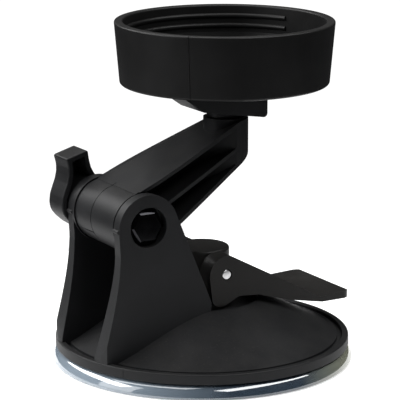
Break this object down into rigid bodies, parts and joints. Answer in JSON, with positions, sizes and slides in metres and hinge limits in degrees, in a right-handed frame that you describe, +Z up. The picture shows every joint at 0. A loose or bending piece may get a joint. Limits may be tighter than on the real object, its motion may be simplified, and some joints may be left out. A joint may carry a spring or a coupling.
{
  "type": "suction cup mount",
  "caption": "Lever-lock suction cup mount with a tilting arm clamped by a wing knob and a swivelling, internally threaded ring holder.",
  "frame": {"origin": "centre of the suction cup's flat underside, on the surface it stands on", "axes": "+Z up along the cup's axis; the arm swings in the X-Z plane, with the lever's paddle towards +X and the clamp knob towards +Y"},
  "size_m": [0.12, 0.12, 0.1341],
  "materials": {
    "black_plastic": "matte moulded black plastic",
    "warm_black_plastic": "matte moulded brownish-black plastic",
    "clear_cup": "clear flexible vinyl",
    "bright_steel": "bright zinc-plated steel",
    "dark_chrome": "black nickel plated steel",
    "bush_nylon": "dark grey nylon"
  },
  "bodies": {
    "base": {"base_shell": "black_plastic", "suction_cup": "clear_cup", "pivot_bolt": "dark_chrome"},
    "stem": {"cup_stem": "warm_black_plastic", "lever_pin": "bright_steel"},
    "lever": {"lock_lever": "warm_black_plastic"},
    "knob": {"clamp_knob": "black_plastic", "knob_nut": "bright_steel", "knob_washer": "bright_steel"},
    "arm": {"tilt_arm": "black_plastic", "arm_bush_near": "bush_nylon", "arm_bush_far": "bush_nylon", "swivel_nut": "bright_steel"},
    "head": {"threaded_ring": "black_plastic", "head_bracket": "black_plastic", "swivel_screw": "bright_steel", "swivel_washer_lower": "bright_steel", "swivel_washer_upper": "bright_steel", "ring_screw_1": "bright_steel", "ring_screw_2": "bright_steel", "ring_screw_3": "bright_steel", "ring_screw_4": "bright_steel"}
  },
  "joints": [
    {"name": "arm_tilt", "type": "hinge", "parent": "base", "child": "arm", "pos_m": [-0.0358, 0, 0.061], "axis": [0, -1, 0], "range_deg": [-10, 110]},
    {"name": "head_swivel", "type": "hinge", "parent": "arm", "child": "head", "pos_m": [0.0102, 0, 0.097], "axis": [0, 0, 1], "continuous": true},
    {"name": "knob_turn", "type": "hinge", "parent": "base", "child": "knob", "pos_m": [-0.0358, 0.0275, 0.061], "axis": [0, 1, 0], "continuous": true},
    {"name": "stem_slide", "type": "slide", "parent": "base", "child": "stem", "axis": [0, 0, 1], "range_m": [-0.002, 0], "deforming": ["suction_cup"]},
    {"name": "lever_lift", "type": "hinge", "parent": "stem", "child": "lever", "pos_m": [0, 0, 0.0371], "axis": [0, -1, 0], "range_deg": [0, 72]}
  ],
  "couplings": [
    {"joint": "lever_lift", "follows": "stem_slide", "rad_per_m": -609.76}
  ]
}
